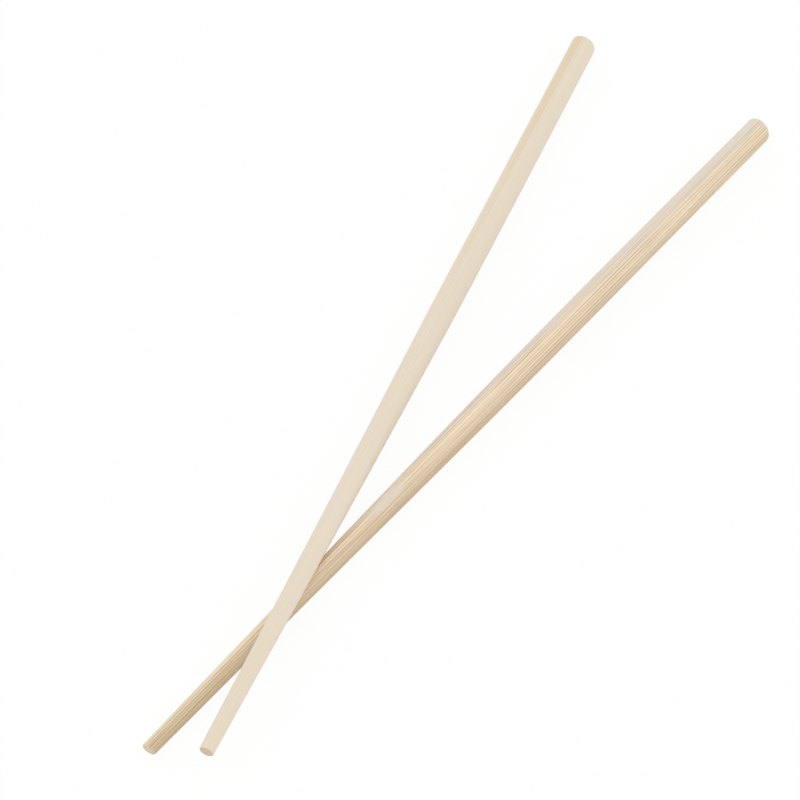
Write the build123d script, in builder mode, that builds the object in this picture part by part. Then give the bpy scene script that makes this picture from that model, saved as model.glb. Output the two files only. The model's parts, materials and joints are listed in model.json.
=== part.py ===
from build123d import *

import os
from math import asin, atan, cos, radians, sin, sqrt

# A pair of round bamboo chopsticks at rest on a table, the upper one across the lower one near the tips.
# Lengths are in millimetres and angles in degrees. A heading is a stick's direction in plan, from its
# grip end to its tip, counted from +X towards +Y.
stick_length = 230.0
grip_length = 97.0  # straight round stretch before the taper
lower_grip_diameter = 6.9
upper_grip_diameter = 6.5  # split bamboo varies, so the two sticks aren't quite alike
tip_diameter = 3.37
grip_edge_radius = 0.8
tip_edge_radius = 0.3
lower_grip_slant = 5.0  # how far the lower stick's ends are sawn out of square
lower_tip_slant = 9.0
spare_length = 1.0  # extra at each end of the lower stick before it is sawn
lower_heading = 230.44
upper_heading = 247.04
lower_crossing = 181.5  # along each stick, from its grip end to where the two cross in plan
upper_crossing = 185.0
seat_gap = 0.02  # hair's breadth between the sticks where the upper one rests

lower_grip_radius = lower_grip_diameter / 2
upper_grip_radius = upper_grip_diameter / 2
tip_radius = tip_diameter / 2
taper_length = stick_length - grip_length


def taper_radius(grip_radius, along):
    return grip_radius - (grip_radius - tip_radius) * (along - grip_length) / taper_length


def taper_angle(grip_radius):
    return atan((grip_radius - tip_radius) / taper_length)


def direction(heading, rise):
    plan = radians(heading)
    return Vector(cos(rise) * cos(plan), cos(rise) * sin(plan), sin(rise))


# The lower stick lies on its taper, so its axis dips to the tip by the taper's angle.
dip = taper_angle(lower_grip_radius)
lower_axis = direction(lower_heading, -dip)
lower_end_height = tip_radius * cos(dip) + stick_length * sin(dip)
lower_crossing_height = lower_end_height - lower_crossing * sin(dip)


def contact_rise(upper_axis):
    # Upward share of the unit normal, from the lower stick to the upper one, where their tapers touch.
    # A taper's outside faces its tip a little, by the sine of its angle, so the normal has that share
    # along each axis, and the rest of it is square to both axes.
    upper_share = -sin(taper_angle(upper_grip_radius))
    lower_share = sin(dip)
    cosine = upper_axis.dot(lower_axis)
    square = upper_axis.cross(lower_axis)
    along_upper = upper_axis * ((upper_share - cosine * lower_share) / square.length**2)
    along_lower = lower_axis * ((lower_share - cosine * upper_share) / square.length**2)
    along_both = along_upper + along_lower
    return along_both.Z + sqrt(1 - along_both.length**2) * abs(square.Z) / square.length


# The upper stick stands on its rounded grip end and leans on the lower one. Its lean settles in a few rounds.
upper_touch_radius = taper_radius(upper_grip_radius, upper_crossing) * cos(taper_angle(upper_grip_radius))
lower_touch_radius = taper_radius(lower_grip_radius, lower_crossing) * cos(dip)
touching_radii = upper_touch_radius + lower_touch_radius
lean = 0.0
for settling in range(8):
    upper_end_height = (upper_grip_radius - grip_edge_radius) * cos(lean) + grip_edge_radius * (1 - sin(lean))
    axis_spacing = (touching_radii + seat_gap) / contact_rise(direction(upper_heading, lean))
    lean = asin((lower_crossing_height + axis_spacing - upper_end_height) / upper_crossing)
upper_axis = direction(upper_heading, lean)


def stick_plane(axis, crossing, end_height):
    # Plane along one stick from the middle of its grip end: X to the tip, Y upwards, Z level to its side.
    level_side = axis.cross(Vector(0, 0, 1))
    grip_end = Vector(-crossing * axis.X, -crossing * axis.Y, end_height)
    return Plane(origin=grip_end, x_dir=axis, z_dir=level_side)


def stick_profile(plane, grip_radius, spare):
    # Half section of a stick: straight grip, then a straight taper to the tip, with spare length at both ends.
    far_end = stick_length + spare
    with BuildSketch(plane) as profile:
        with BuildLine():
            Polyline(
                (-spare, 0),
                (-spare, grip_radius),
                (grip_length, grip_radius),
                (far_end, taper_radius(grip_radius, far_end)),
                (far_end, 0),
                close=True,
            )
        make_face()
    return profile.sketch


def saw_cut(end, outward, level_side, slant):
    # Plane across a stick's end, slanted so that the stick is longer on its level side.
    tilt = radians(slant)
    return Plane(origin=end, z_dir=outward * cos(tilt) - level_side * sin(tilt))


lower_plane = stick_plane(lower_axis, lower_crossing, lower_end_height)
grip_end = lower_plane.origin
tip_end = grip_end + lower_axis * stick_length
with BuildPart() as lower_chopstick:
    line = Axis(grip_end, lower_axis)
    revolve(stick_profile(lower_plane, lower_grip_radius, spare_length), axis=line)
    split(bisect_by=saw_cut(grip_end, -lower_axis, lower_plane.z_dir, lower_grip_slant), keep=Keep.BOTTOM)
    split(bisect_by=saw_cut(tip_end, lower_axis, lower_plane.z_dir, lower_tip_slant), keep=Keep.BOTTOM)
    fillet(lower_chopstick.edges().group_by(line)[0], grip_edge_radius)
    fillet(lower_chopstick.edges().group_by(line)[-1], tip_edge_radius)

upper_plane = stick_plane(upper_axis, upper_crossing, upper_end_height)
with BuildPart() as upper_chopstick:
    line = Axis(upper_plane.origin, upper_axis)
    revolve(stick_profile(upper_plane, upper_grip_radius, 0), axis=line)
    fillet(upper_chopstick.edges().group_by(line)[0], grip_edge_radius)
    fillet(upper_chopstick.edges().group_by(line)[-1], tip_edge_radius)

# The origin is on the table, under the middle of the pair's bounding box.
pair_middle = Compound([lower_chopstick.part, upper_chopstick.part]).bounding_box().center()
to_origin = Location((-pair_middle.X, -pair_middle.Y, 0))
lower_chopstick.part.move(to_origin)
upper_chopstick.part.move(to_origin)

os.makedirs("parts", exist_ok=True)
lower_chopstick.part.label = "lower_chopstick"
upper_chopstick.part.label = "upper_chopstick"
export_step(lower_chopstick.part, "parts/lower_chopstick.step")
export_step(upper_chopstick.part, "parts/upper_chopstick.step")
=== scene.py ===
import json
import math

import bpy
import numpy as np
from mathutils import Matrix, Vector


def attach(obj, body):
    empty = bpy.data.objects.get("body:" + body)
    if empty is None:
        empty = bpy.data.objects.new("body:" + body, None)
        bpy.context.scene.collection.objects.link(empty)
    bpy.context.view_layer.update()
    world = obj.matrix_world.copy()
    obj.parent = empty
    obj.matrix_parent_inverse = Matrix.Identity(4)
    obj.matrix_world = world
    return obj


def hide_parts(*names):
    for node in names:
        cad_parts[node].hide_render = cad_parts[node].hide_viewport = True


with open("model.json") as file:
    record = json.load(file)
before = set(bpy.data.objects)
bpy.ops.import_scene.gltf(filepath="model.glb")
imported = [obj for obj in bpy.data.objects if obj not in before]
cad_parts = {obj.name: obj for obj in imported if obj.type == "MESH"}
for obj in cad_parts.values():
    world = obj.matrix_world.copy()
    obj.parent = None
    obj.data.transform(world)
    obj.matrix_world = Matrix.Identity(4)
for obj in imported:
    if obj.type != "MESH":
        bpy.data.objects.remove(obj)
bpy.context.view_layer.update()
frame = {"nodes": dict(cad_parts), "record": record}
scene = bpy.context.scene
mm = 0.001
print("frame loaded:", ", ".join(sorted(frame["nodes"])))


def linearColour(hexColour):
    # sRGB hex to linear light, with full alpha
    channels = np.array([int(hexColour[i:i + 2], 16) for i in (1, 3, 5)]) / 255
    low = channels / 12.92
    high = ((channels + 0.055) / 1.055) ** 2.4
    return (*np.where(channels <= 0.04045, low, high), 1.0)


def addNode(tree, kind, settings=None, links=None):
    # one shader node: settings fill its properties or sockets, links feed its sockets
    node = tree.nodes.new(kind)
    for name, value in (settings or {}).items():
        if isinstance(name, str) and hasattr(node, name):
            setattr(node, name, value)
        else:
            node.inputs[name].default_value = value
    for name, source in (links or {}).items():
        tree.links.new(source, node.inputs[name])
    return node


def smoothStep(low, high, value):
    # from 0 at low to 1 at high, level at both ends: three squares of the share less two cubes
    share = np.clip((value - low) / (high - low), 0, 1)
    return share * share * (3 - 2 * share)


# the two sticks: sizes in millimetres, angles in degrees
# an angle round a stick counts from its level side on the photograph's right, over the top
# woodSpan and lineSpan count from the stick's middle at its grip end, towards the culm's outside
upperStick = {
    "node": "upper_chopstick", "mount": "upper_grip", "slot": "pale_bamboo", "seed": 4,
    "endSlants": (0.0, 0.0),        # grip end and tip sawn out of square, longer on the photograph's left
    "gripEdge": (0.9, 0.3),         # roundness of the grip end's edge on the photograph's right and left
    "bend": 14.0,                   # the slow bend from grip to taper reaches this far to both sides
    "bow": 0.3,                     # how far the middle bends out to the photograph's right
    "outerSide": 113.0,             # which way the culm's outside faced, as an angle round the stick
    "grainTilt": 0.23,              # how far the grain runs off the stick's line, to the culm's outside
    "toneDrift": 0.0,               # how far the tones move for each millimetre along, besides that
    "woodSpan": (2.7, 3.25, 7.0),   # pale inner wood up to here, yellow by here, brown by here
    "lineSpan": (1.0, 3.2),         # where the fibre lines are faintest and where they are strongest
    "lineStrength": (0.05, 0.13),   # their strengths at those two places
    "lineSpacing": 0.8,
    "lineDrift": -0.004,            # how far the lines wander round the stick for each millimetre along
    "paleSpot": (20.0, 10.0),       # along and round the stick, a place with paler wood and few lines
    "innerWood": "#e4d8c4", "middleWood": "#e1ceb1", "outerWood": "#d8c19a",
    # the ends' colour is darker end grain together with painted shade of the upright end faces
    "fibre": "#a98a60", "paleFibre": "#f3e9d6", "endGrainAndShade": "#c9ae92",
}
lowerStick = {
    "node": "lower_chopstick", "mount": "lower_grip", "slot": "striped_bamboo", "seed": 11,
    "endSlants": (5.0, 9.0),
    "gripEdge": (1.5, 1.2),
    "bend": 34.0,
    "bow": -0.28,
    "outerSide": -10.0,
    "grainTilt": -0.45,
    "toneDrift": 0.0102,
    "woodSpan": (-0.3, 1.8, 6.6),
    "lineSpan": (-1.5, 0.3),
    "lineStrength": (0.02, 0.54),
    "lineSpacing": 0.68,
    "lineDrift": 0.009,
    "paleSpot": (148.5, 96.0),
    "innerWood": "#e2d5c5", "middleWood": "#eedcbf", "outerWood": "#c8b28f",
    # the ends' colour here is the pale end grain alone, with no painted shade
    "fibre": "#9a7346", "paleFibre": "#f8e8c8", "endGrainAndShade": "#dccbb3",
}

# what both sticks share, in millimetres
turned = {
    "length": 230.0, "gripLength": 97.0, "tipDiameter": 3.37, "tipEdge": 0.3,
    "sanding": 0.02,                # depth of the sanding waves
    "sandingWaves": ((4.0, 2), (7.0, 1), (13.0, 3), (22.0, 0)),   # way along for one radian, and turns round
    "outOfRound": 0.03,
    "endShear": (1.0, 8.0),         # from an end: sheared fully to its saw cut up to here, and not past here
    "endFade": (0.5, 1.0),          # end grain, and the end colour with its painted shade, on a rounded edge: none and all, by its slant's cosine
    "columns": 200, "faceRings": 10, "edgeRings": 8, "wallRings": 400,
}


def stickAxes(stick):
    # where the stick lies: the middle of its grip end, and rows to its tip, level side and upper side
    mount = next(mount for mount in frame["record"]["mounts"] if mount["name"] == stick["mount"])
    forward = -np.array(mount["axis"]) / np.linalg.norm(mount["axis"])
    level = np.cross([0, 0, 1.0], forward)
    level /= np.linalg.norm(level)
    mountMiddle = turned["gripLength"] - mount["dims"]["length_mm"] / 2
    return {
        "gripEnd": np.array(mount["pos_m"]) - forward * mountMiddle * mm,
        "turn": np.array([forward, level, np.cross(forward, level)]),
        "gripRadius": mount["dims"]["r_mm"],
    }


def wallRadius(stick, axes, along):
    # straight grip, then a slow bend whose slope grows evenly, then a straight taper to the tip: in the bend
    # the radius falls with the square of the way into it, and beyond the bend with the way itself
    beyond, bend = along - turned["gripLength"], stick["bend"]
    slope = (axes["gripRadius"] - turned["tipDiameter"] / 2) / (turned["length"] - turned["gripLength"])
    intoBend = np.clip(beyond + bend, 0, 2 * bend)
    return axes["gripRadius"] - slope * (intoBend ** 2 / (4 * bend) + np.maximum(beyond - bend, 0))


def stickOutline(stick, axes, angle):
    # section from the middle of the grip end to the middle of the tip, one column for each angle: flat end,
    # quarter round edge, wall, smaller quarter round edge and flat tip
    # the grip edge's radius swings from left to right with the angle's cosine
    # onEnd says how far each ring belongs to an end face
    rightEdge, leftEdge = stick["gripEdge"]
    gripEdge = (rightEdge + leftEdge) / 2 + (rightEdge - leftEdge) / 2 * np.cos(angle)
    length, tipEdge = turned["length"], turned["tipEdge"] + 0 * angle
    quarter = np.linspace(0, math.pi / 2, turned["edgeRings"])[:, None]
    share = np.linspace(0, 1, turned["wallRings"])[:, None]
    faceShare = np.linspace(0, 1, turned["faceRings"])[1:-1, None]
    wall = gripEdge + (length - tipEdge - gripEdge) * share
    radii = wallRadius(stick, axes, wall)
    along = np.concatenate([
        0 * faceShare * angle, gripEdge * (1 - np.cos(quarter[:-1])), wall,
        length - tipEdge + tipEdge * np.sin(quarter[1:]), length + 0 * faceShare * angle])
    radius = np.concatenate([
        faceShare * (radii[0] - gripEdge), radii[0] - gripEdge + gripEdge * np.sin(quarter[:-1]), radii,
        radii[-1] - tipEdge + tipEdge * np.cos(quarter[1:]), faceShare[::-1] * (radii[-1] - tipEdge)])
    onEnd = np.concatenate([
        1 + 0 * faceShare, smoothStep(*turned["endFade"], np.cos(quarter[:-1])), 0 * share,
        smoothStep(*turned["endFade"], np.sin(quarter[1:])), 1 + 0 * faceShare])
    return along, radius, onEnd


def stickPoints(stick, axes):
    angle = np.linspace(0, 2 * math.pi, turned["columns"], endpoint=False)[None, :]
    along, radius, onEnd = stickOutline(stick, axes, angle)
    sandingWaves = turned["sandingWaves"]
    rng = np.random.default_rng(stick["seed"])
    phases = rng.uniform(0, 2 * math.pi, len(sandingWaves) + 1)

    # sanded by hand: the wall is hollowed by the mean of a few sine waves along and round the stick, and by
    # the cosine of twice the angle, which leaves it a little out of round; the end faces stay flat
    waves = sum(np.sin(along / reach + turns * angle + phase)
                for (reach, turns), phase in zip(sandingWaves, phases)) / len(sandingWaves)
    ovalness = np.cos(2 * angle + phases[-1])
    hollow = turned["sanding"] * (1 + waves) / 2 + turned["outOfRound"] * (1 + ovalness) / 2
    fromAxis = radius * (1 - hollow * (1 - onEnd) / np.maximum(radius, 1))
    across, upward = fromAxis * np.cos(angle), fromAxis * np.sin(angle)

    # the ends are sheared to their slanted saw cuts, by the slant's tangent times the way across
    gripSlant, tipSlant = np.tan(np.radians(stick["endSlants"]))
    sheared, unsheared = turned["endShear"]
    atGrip = 1 - smoothStep(sheared, unsheared, along)
    atTip = smoothStep(turned["length"] - unsheared, turned["length"] - sheared, along)
    share = along / turned["length"]
    along = along + (atGrip * gripSlant - atTip * tipSlant) * radius * np.cos(angle)

    # the whole stick bends a little to one side, along a parabola less its mean of two thirds
    across = across + stick["bow"] * (4 * share * (1 - share) - 2 / 3)
    grid = np.stack([along, across, upward], axis=-1)
    middles = grid[[0, -1]].mean(axis=1)
    points = np.concatenate([grid.reshape(-1, 3), middles])
    onEnd = np.concatenate([(onEnd + 0 * angle).ravel(), [1, 1]])
    return axes["gripEnd"] + points @ axes["turn"] * mm, onEnd, grid.shape[:2]


def makeStick(stick):
    # rings of points joined by four-sided faces, with a fan to the middle of each end
    axes = stickAxes(stick)
    points, onEnd, (rings, columns) = stickPoints(stick, axes)
    grid = np.arange(rings * columns).reshape(rings, columns)
    nextColumn = np.roll(grid, -1, axis=1)
    walls = np.stack([grid[:-1], nextColumn[:-1], nextColumn[1:], grid[1:]], axis=-1).reshape(-1, 4)
    gripFan = np.stack([np.full(columns, grid.size), nextColumn[0], grid[0]], axis=-1)
    tipFan = np.stack([np.full(columns, grid.size + 1), grid[-1], nextColumn[-1]], axis=-1)
    data = bpy.data.meshes.new(stick["node"] + "_bamboo")
    data.from_pydata(points, [], walls.tolist() + gripFan.tolist() + tipFan.tolist())
    data.attributes.new("onEnd", "FLOAT", "POINT").data.foreach_set("value", onEnd)
    data.shade_smooth()
    data.materials.append(bambooMaterial(stick, axes))
    piece = bpy.data.objects.new(stick["node"] + "_bamboo", data)
    scene.collection.objects.link(piece)
    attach(piece, "root")
    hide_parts(stick["node"])
    print(stick["node"], "made with", len(data.vertices), "points")


# sanded bare bamboo: a matt pale ground, yellower and browner towards the culm's outside, with the fibre
# bundles cut lengthwise to long thin lines and crosswise to dots on the ends
# sizes in millimetres
bamboo = {
    "wave": (80.0, 5.0, 0.4),           # length, width and size of the slow waves in the grain
    "lineUnevenness": 0.4,              # how uneven the steps from line to line are, up to 1
    "lineLength": 45.0,                 # about how long a fibre line stays dark
    "lineApart": 0.03,                  # lines whose chances differ by more than this change on their own
    "lineChange": (0.35, 0.65, 0.25),   # noise at a line's weakest and strongest, and its share when weakest
    "bundle": (0.25, 0.06),             # where a bundle ends and is full, from its middle, in line spacings
    "between": (0.28, 0.5, 0.6),        # where the paler wood between begins and is full, and its strength
    "dotUnevenness": 0.5,               # how unevenly the dots on the ends lie, up to 1
    "dotStrength": 0.35,
    "endStrength": 0.75,                # how far the ends take on the end colour: darker end grain with painted shade of the upright end faces
    "cloud": (40.0, 2.4),               # length and width of slow changes of tone
    "cloudChange": (0.45, 0.75, 0.1),   # noise where a cloud begins and where it is full, and its strength
    "fibres": (14.0, 0.16),             # length and width of the fine fibres, drawn coarse enough to show
    "fibreChange": (0.45, 0.7, 0.5),    # noise where they begin and where they are full, and their strength
    "pores": (9.0, 0.7),                # length and width of the cells that may hold a short open pore
    "poreless": 0.6,                    # share of those cells without one
    "poreReach": 0.15,                  # half the largest pore, as a share of its cell
    "poreStrength": 0.15,
    "spotSize": (7.0, 1.6),             # half length and half width of the pale spot
    "spotFade": (0.5, 1.3),             # where the spot begins to fade and where it ends, as shares of those
    "roughness": (0.62, 0.52),          # between the bundles and on them
    "bump": (0.4, 0.02),                # strength and height of the bundles and fine fibres
    "ior": 1.5,
}


def bambooMaterial(stick, axes):
    material = bpy.data.materials.new("sandedBamboo_" + stick["slot"])
    material.use_nodes = True
    tree = material.node_tree
    tree.nodes.clear()

    # the grain's own millimetres: X along the fibres, Y towards the culm's outside, Z across
    side, tilt = math.radians(stick["outerSide"]), math.radians(stick["grainTilt"])
    outside = np.array([0, math.cos(side), math.sin(side)])
    fibres = np.array([math.cos(tilt), 0, 0]) + outside * math.sin(tilt)
    outside = outside * math.cos(tilt) - np.array([math.sin(tilt), 0, 0])
    grainRows = np.array([fibres, outside, np.cross(fibres, outside)])
    grainTurn = Matrix((grainRows @ axes["turn"]).T.tolist()).to_euler()
    coordinates = addNode(tree, "ShaderNodeTexCoord")
    straight = addNode(tree, "ShaderNodeMapping", {
        "vector_type": "TEXTURE", "Location": axes["gripEnd"].tolist(), "Rotation": grainTurn,
        "Scale": (mm, mm, mm)}, {"Vector": coordinates.outputs["Object"]})
    waveLength, waveWidth, waveSize = bamboo["wave"]
    slow = addNode(tree, "ShaderNodeVectorMath", {
        "operation": "DIVIDE", 1: (waveLength, waveWidth, waveWidth)}, {0: straight.outputs["Vector"]})
    wave = addNode(tree, "ShaderNodeTexNoise", {"Scale": 1.0, "Detail": 1.0}, {
        "Vector": slow.outputs["Vector"]})
    swing = addNode(tree, "ShaderNodeVectorMath", {"operation": "SUBTRACT", 1: (0.5, 0.5, 0.5)}, {
        0: wave.outputs["Color"]})
    grain = addNode(tree, "ShaderNodeVectorMath", {
        "operation": "MULTIPLY_ADD", 1: (0, waveSize, waveSize)}, {
        0: swing.outputs["Vector"], 2: straight.outputs["Vector"]})
    place = addNode(tree, "ShaderNodeSeparateXYZ", {}, {"Vector": grain.outputs["Vector"]})

    # how far towards the culm's outside, which moves along the stick: yellower, then browner, more lines
    outward = addNode(tree, "ShaderNodeMath", {"operation": "MULTIPLY_ADD", 1: stick["toneDrift"]}, {
        0: place.outputs["X"], 2: place.outputs["Y"]})
    innerEdge, middle, outerEdge = stick["woodSpan"]
    yellowed = addNode(tree, "ShaderNodeMapRange", {
        "interpolation_type": "SMOOTHSTEP", "From Min": innerEdge, "From Max": middle}, {
        "Value": outward.outputs["Value"]})
    browned = addNode(tree, "ShaderNodeMapRange", {
        "interpolation_type": "SMOOTHSTEP", "From Min": middle, "From Max": outerEdge}, {
        "Value": outward.outputs["Value"]})
    faintest, strongest = stick["lineSpan"]
    faintStrength, fullStrength = stick["lineStrength"]
    linedWood = addNode(tree, "ShaderNodeMapRange", {
        "interpolation_type": "SMOOTHSTEP", "From Min": faintest, "From Max": strongest,
        "To Min": faintStrength, "To Max": fullStrength}, {"Value": outward.outputs["Value"]})

    # one pale spot on the wall, where the yellow and the lines fall back
    spotAlong, spotAngle = stick["paleSpot"][0], math.radians(stick["paleSpot"][1])
    spotRadius = wallRadius(stick, axes, spotAlong)
    spotPlace = grainRows @ [
        spotAlong, spotRadius * math.cos(spotAngle), spotRadius * math.sin(spotAngle)]
    fromSpot = addNode(tree, "ShaderNodeVectorMath", {"operation": "SUBTRACT", 1: spotPlace.tolist()}, {
        0: straight.outputs["Vector"]})
    spotLength, spotWidth = bamboo["spotSize"]
    spotScaled = addNode(tree, "ShaderNodeVectorMath", {
        "operation": "DIVIDE", 1: (spotLength, spotWidth, spotWidth)}, {0: fromSpot.outputs["Vector"]})
    spotGap = addNode(tree, "ShaderNodeVectorMath", {"operation": "LENGTH"}, {
        0: spotScaled.outputs["Vector"]})
    fadeStart, fadeEnd = bamboo["spotFade"]
    offSpot = addNode(tree, "ShaderNodeMapRange", {
        "interpolation_type": "SMOOTHSTEP", "From Min": fadeStart, "From Max": fadeEnd}, {
        "Value": spotGap.outputs["Value"]})
    yellow = addNode(tree, "ShaderNodeMath", {"operation": "MULTIPLY"}, {
        0: yellowed.outputs["Result"], 1: offSpot.outputs["Result"]})
    lineShare = addNode(tree, "ShaderNodeMath", {"operation": "MULTIPLY"}, {
        0: linedWood.outputs["Result"], 1: offSpot.outputs["Result"]})

    # fibre bundles on the wall: thin dark lines at nearly even steps round the stick, which wander a little
    # with the grain and come and go along their length; the angle's seam lies on the underside
    own = addNode(tree, "ShaderNodeMapping", {
        "vector_type": "TEXTURE", "Location": axes["gripEnd"].tolist(),
        "Rotation": Matrix(axes["turn"].T.tolist()).to_euler(), "Scale": (mm, mm, mm)}, {
        "Vector": coordinates.outputs["Object"]})
    waved = addNode(tree, "ShaderNodeVectorMath", {
        "operation": "MULTIPLY_ADD", 1: (0, waveSize, waveSize)}, {
        0: swing.outputs["Vector"], 2: own.outputs["Vector"]})
    wavedPlace = addNode(tree, "ShaderNodeSeparateXYZ", {}, {"Vector": waved.outputs["Vector"]})
    angle = addNode(tree, "ShaderNodeMath", {"operation": "ARCTAN2"}, {
        0: wavedPlace.outputs["Y"], 1: wavedPlace.outputs["Z"]})
    offAxis = addNode(tree, "ShaderNodeVectorMath", {"operation": "MULTIPLY", 1: (0, 1, 1)}, {
        0: waved.outputs["Vector"]})
    radius = addNode(tree, "ShaderNodeVectorMath", {"operation": "LENGTH"}, {0: offAxis.outputs["Vector"]})
    aroundWall = addNode(tree, "ShaderNodeMath", {"operation": "MULTIPLY"}, {
        0: angle.outputs["Value"], 1: radius.outputs["Value"]})
    drifted = addNode(tree, "ShaderNodeMath", {"operation": "MULTIPLY_ADD", 1: stick["lineDrift"]}, {
        0: wavedPlace.outputs["X"], 2: aroundWall.outputs["Value"]})
    lines = addNode(tree, "ShaderNodeTexVoronoi", {
        "voronoi_dimensions": "1D", "Scale": 1 / stick["lineSpacing"],
        "Randomness": bamboo["lineUnevenness"]}, {"W": drifted.outputs["Value"]})
    chance = addNode(tree, "ShaderNodeSeparateColor", {}, {"Color": lines.outputs["Color"]})
    alongLine = addNode(tree, "ShaderNodeCombineXYZ", {}, {
        "X": wavedPlace.outputs["X"], "Y": chance.outputs["Red"]})
    lineScaled = addNode(tree, "ShaderNodeVectorMath", {
        "operation": "DIVIDE", 1: (bamboo["lineLength"], bamboo["lineApart"], 1)}, {
        0: alongLine.outputs["Vector"]})
    lineNoise = addNode(tree, "ShaderNodeTexNoise", {
        "noise_dimensions": "2D", "Scale": 1.0, "Detail": 1.0}, {"Vector": lineScaled.outputs["Vector"]})
    weakest, fullest, leastShare = bamboo["lineChange"]
    ownStrength = addNode(tree, "ShaderNodeMapRange", {
        "From Min": weakest, "From Max": fullest, "To Min": leastShare}, {
        "Value": lineNoise.outputs["Fac"]})

    # on the ends the bundles are dots, one in each cell of the section
    section = addNode(tree, "ShaderNodeCombineXYZ", {}, {
        "X": place.outputs["Y"], "Y": place.outputs["Z"]})
    dots = addNode(tree, "ShaderNodeTexVoronoi", {
        "voronoi_dimensions": "2D", "Scale": 1 / stick["lineSpacing"],
        "Randomness": bamboo["dotUnevenness"]}, {"Vector": section.outputs["Vector"]})
    onEnd = addNode(tree, "ShaderNodeAttribute", {"attribute_name": "onEnd"})
    fromBundle = addNode(tree, "ShaderNodeMix", {"data_type": "FLOAT"}, {
        0: onEnd.outputs["Fac"], 2: lines.outputs["Distance"], 3: dots.outputs["Distance"]})
    dotShare = addNode(tree, "ShaderNodeMapRange", {"To Max": bamboo["dotStrength"]}, {
        "Value": onEnd.outputs["Fac"]})

    # dark on the bundles and paler between them
    bundleEdge, bundleCore = bamboo["bundle"]
    inBundle = addNode(tree, "ShaderNodeMapRange", {
        "interpolation_type": "SMOOTHSTEP", "From Min": bundleEdge, "From Max": bundleCore}, {
        "Value": fromBundle.outputs[0]})
    paleStart, paleFull, paleStrength = bamboo["between"]
    between = addNode(tree, "ShaderNodeMapRange", {
        "interpolation_type": "SMOOTHSTEP", "From Min": paleStart, "From Max": paleFull,
        "To Max": paleStrength}, {"Value": fromBundle.outputs[0]})
    bundleShare = addNode(tree, "ShaderNodeMath", {"operation": "MAXIMUM"}, {
        0: lineShare.outputs["Value"], 1: dotShare.outputs["Result"]})
    strength = addNode(tree, "ShaderNodeMath", {"operation": "MULTIPLY"}, {
        0: ownStrength.outputs["Result"], 1: bundleShare.outputs["Value"]})
    onBundle = addNode(tree, "ShaderNodeMath", {"operation": "MULTIPLY"}, {
        0: inBundle.outputs["Result"], 1: strength.outputs["Value"]})
    betweenBundles = addNode(tree, "ShaderNodeMath", {"operation": "MULTIPLY"}, {
        0: between.outputs["Result"], 1: lineShare.outputs["Value"]})

    # clouds and fine fibres drawn out along the grain
    cloudLength, cloudWidth = bamboo["cloud"]
    cloudScaled = addNode(tree, "ShaderNodeVectorMath", {
        "operation": "DIVIDE", 1: (cloudLength, cloudWidth, cloudWidth)}, {0: grain.outputs["Vector"]})
    cloud = addNode(tree, "ShaderNodeTexNoise", {"Scale": 1.0, "Detail": 2.0}, {
        "Vector": cloudScaled.outputs["Vector"]})
    cloudStart, cloudFull, cloudStrength = bamboo["cloudChange"]
    cloudShare = addNode(tree, "ShaderNodeMapRange", {
        "From Min": cloudStart, "From Max": cloudFull, "To Max": cloudStrength}, {
        "Value": cloud.outputs["Fac"]})
    fibreLength, fibreWidth = bamboo["fibres"]
    fibreScaled = addNode(tree, "ShaderNodeVectorMath", {
        "operation": "DIVIDE", 1: (fibreLength, fibreWidth, fibreWidth)}, {0: grain.outputs["Vector"]})
    fineFibres = addNode(tree, "ShaderNodeTexNoise", {"Scale": 1.0, "Detail": 2.0}, {
        "Vector": fibreScaled.outputs["Vector"]})
    fibreStart, fibreFull, fibreStrength = bamboo["fibreChange"]
    fineShare = addNode(tree, "ShaderNodeMapRange", {
        "From Min": fibreStart, "From Max": fibreFull, "To Max": fibreStrength}, {
        "Value": fineFibres.outputs["Fac"]})
    onFine = addNode(tree, "ShaderNodeMath", {"operation": "MULTIPLY"}, {
        0: fineShare.outputs["Result"], 1: lineShare.outputs["Value"]})

    # short open pores: a dash in some of the long cells
    poreLength, poreWidth = bamboo["pores"]
    poreScaled = addNode(tree, "ShaderNodeVectorMath", {
        "operation": "DIVIDE", 1: (poreLength, poreWidth, poreWidth)}, {0: grain.outputs["Vector"]})
    poreCells = addNode(tree, "ShaderNodeTexVoronoi", {"Scale": 1.0}, {
        "Vector": poreScaled.outputs["Vector"]})
    poreChance = addNode(tree, "ShaderNodeSeparateColor", {}, {"Color": poreCells.outputs["Color"]})
    poreReach = addNode(tree, "ShaderNodeMapRange", {
        "From Min": bamboo["poreless"], "To Max": bamboo["poreReach"]}, {
        "Value": poreChance.outputs["Red"]})
    inPore = addNode(tree, "ShaderNodeMath", {"operation": "LESS_THAN"}, {
        0: poreCells.outputs["Distance"], 1: poreReach.outputs["Result"]})
    poreShare = addNode(tree, "ShaderNodeMath", {"operation": "MULTIPLY", 1: bamboo["poreStrength"]}, {
        0: inPore.outputs["Value"]})
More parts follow.
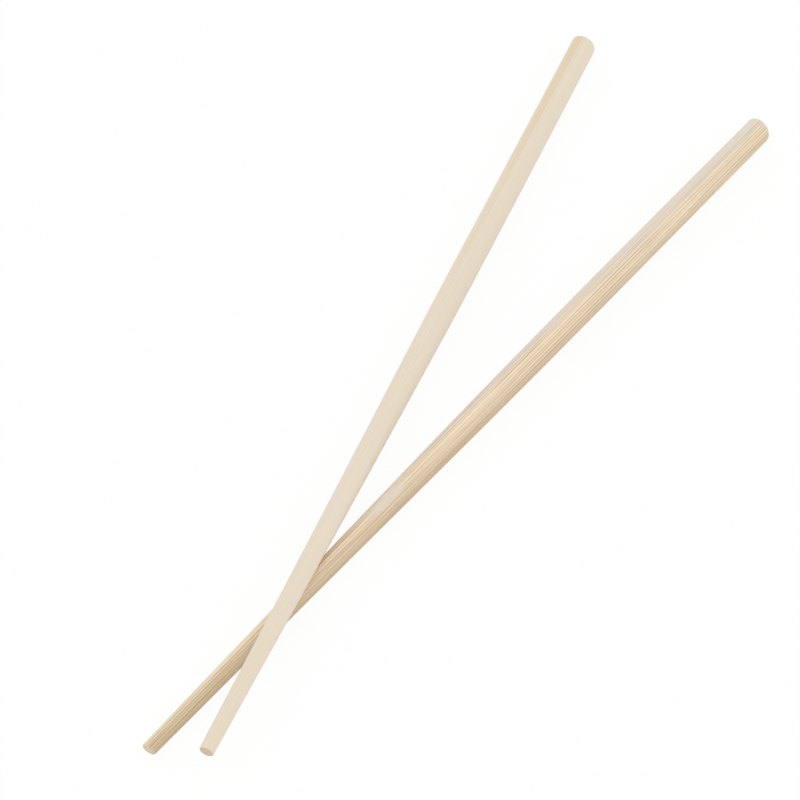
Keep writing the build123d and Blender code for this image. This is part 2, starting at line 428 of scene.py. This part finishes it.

    # colours: inner and middle wood, pale wood between lines, outer wood, clouds, end grain with painted
    # shade of the upright end faces, dark lines, fine fibres and pores
    inward = addNode(tree, "ShaderNodeMix", {
        "data_type": "RGBA", 6: linearColour(stick["innerWood"]), 7: linearColour(stick["middleWood"])}, {
        0: yellow.outputs["Value"]})
    paleLined = addNode(tree, "ShaderNodeMix", {"data_type": "RGBA", 7: linearColour(stick["paleFibre"])}, {
        0: betweenBundles.outputs["Value"], 6: inward.outputs[2]})
    ground = addNode(tree, "ShaderNodeMix", {"data_type": "RGBA", 7: linearColour(stick["outerWood"])}, {
        0: browned.outputs["Result"], 6: paleLined.outputs[2]})
    clouded = addNode(tree, "ShaderNodeMix", {"data_type": "RGBA", 7: linearColour(stick["outerWood"])}, {
        0: cloudShare.outputs["Result"], 6: ground.outputs[2]})
    # the ends take the end colour: darker end grain, and painted shade of the upright end faces
    endShare = addNode(tree, "ShaderNodeMapRange", {"To Max": bamboo["endStrength"]}, {
        "Value": onEnd.outputs["Fac"]})
    ended = addNode(tree, "ShaderNodeMix", {"data_type": "RGBA", 7: linearColour(stick["endGrainAndShade"])}, {
        0: endShare.outputs["Result"], 6: clouded.outputs[2]})
    darkLined = addNode(tree, "ShaderNodeMix", {"data_type": "RGBA", 7: linearColour(stick["fibre"])}, {
        0: onBundle.outputs["Value"], 6: ended.outputs[2]})
    fineLined = addNode(tree, "ShaderNodeMix", {"data_type": "RGBA", 7: linearColour(stick["fibre"])}, {
        0: onFine.outputs["Value"], 6: darkLined.outputs[2]})
    pored = addNode(tree, "ShaderNodeMix", {"data_type": "RGBA", 7: linearColour(stick["fibre"])}, {
        0: poreShare.outputs["Value"], 6: fineLined.outputs[2]})

    # the bundles are a little smoother than the wood and stand up a hair above it
    woodRoughness, bundleRoughness = bamboo["roughness"]
    roughness = addNode(tree, "ShaderNodeMapRange", {"To Min": woodRoughness, "To Max": bundleRoughness}, {
        "Value": inBundle.outputs["Result"]})
    height = addNode(tree, "ShaderNodeMath", {"operation": "ADD"}, {
        0: onBundle.outputs["Value"], 1: fineFibres.outputs["Fac"]})
    bumpStrength, bumpHeight = bamboo["bump"]
    bump = addNode(tree, "ShaderNodeBump", {"Strength": bumpStrength, "Distance": bumpHeight * mm}, {
        "Height": height.outputs["Value"]})
    shader = addNode(tree, "ShaderNodeBsdfPrincipled", {"IOR": bamboo["ior"]}, {
        "Base Color": pored.outputs[2], "Roughness": roughness.outputs["Result"],
        "Normal": bump.outputs["Normal"]})
    addNode(tree, "ShaderNodeOutputMaterial", {}, {"Surface": shader.outputs["BSDF"]})
    return material


for stick in (upperStick, lowerStick):
    makeStick(stick)

# matt white table: white to the camera, with a soft share of real shadow
table = {"size": 4.0, "albedo": "#f7f7f5", "shadowShare": 0.08}


def makeTable():
    corners = np.array([[-1, -1, 0], [1, -1, 0], [1, 1, 0], [-1, 1, 0]]) * table["size"] / 2
    data = bpy.data.meshes.new("table")
    data.from_pydata(corners, [], [[0, 1, 2, 3]])
    floor = bpy.data.objects.new("table", data)
    scene.collection.objects.link(floor)
    material = bpy.data.materials.new("mattWhiteTable")
    material.use_nodes = True
    tree = material.node_tree
    tree.nodes.clear()
    path = addNode(tree, "ShaderNodeLightPath")
    mirrored = addNode(tree, "ShaderNodeMath", {"operation": "MAXIMUM"}, {
        0: path.outputs["Is Glossy Ray"], 1: path.outputs["Is Transmission Ray"]})
    seen = addNode(tree, "ShaderNodeMath", {"operation": "MAXIMUM"}, {
        0: path.outputs["Is Camera Ray"], 1: mirrored.outputs["Value"]})
    matt = addNode(tree, "ShaderNodeBsdfDiffuse", {"Color": linearColour(table["albedo"])})
    glow = addNode(tree, "ShaderNodeEmission", {"Color": linearColour("#ffffff"), "Strength": 1.0})
    whitened = addNode(tree, "ShaderNodeMixShader", {"Fac": table["shadowShare"]}, {
        1: glow.outputs["Emission"], 2: matt.outputs["BSDF"]})
    shown = addNode(tree, "ShaderNodeMixShader", {}, {
        "Fac": seen.outputs["Value"], 1: matt.outputs["BSDF"], 2: whitened.outputs["Shader"]})
    addNode(tree, "ShaderNodeOutputMaterial", {}, {"Surface": shown.outputs["Shader"]})
    data.materials.append(material)


makeTable()

# soft studio light: an even white dome and a large weak lamp on either side
studio = {
    "dome": 1.0, "lampPower": 0.4, "lampSize": 0.9,
    "lampPlaces": [(-0.8, -0.1, 0.4), (0.8, 0.1, 0.4)],
}


def makeStudio():
    world = bpy.data.worlds.new("studio")
    world.use_nodes = True
    tree = world.node_tree
    tree.nodes.clear()
    dome = addNode(tree, "ShaderNodeBackground", {
        "Color": linearColour("#ffffff"), "Strength": studio["dome"]})
    addNode(tree, "ShaderNodeOutputWorld", {}, {"Surface": dome.outputs["Background"]})
    scene.world = world
    for lampPlace in studio["lampPlaces"]:
        lamp = bpy.data.lights.new("softLamp", "AREA")
        lamp.energy = studio["lampPower"]
        lamp.size = studio["lampSize"]
        softLamp = bpy.data.objects.new("softLamp", lamp)
        softLamp.location = lampPlace
        softLamp.rotation_euler = (-Vector(lampPlace)).to_track_quat("-Z", "Y").to_euler()
        scene.collection.objects.link(softLamp)


makeStudio()

# the photograph's view: from above the tips, looking along the pair
view = {
    "aim": (-0.01911, -0.0073, 0.0), "elevation": 53.973, "distance": 0.6243,
    "lens": 117.953, "sensor": 36.0,   # both in millimetres
}


def makeCamera():
    tilt = math.radians(view["elevation"])
    back = Vector((0, -math.cos(tilt), math.sin(tilt)))
    data = bpy.data.cameras.new("camera")
    data.sensor_width = view["sensor"]
    data.lens = view["lens"]
    camera = bpy.data.objects.new("camera", data)
    camera.location = Vector(view["aim"]) + back * view["distance"]
    camera.rotation_euler = back.to_track_quat("Z", "Y").to_euler()
    scene.collection.objects.link(camera)
    scene.camera = camera


makeCamera()
scene.view_settings.view_transform = "Standard"
print("table, light and camera made")
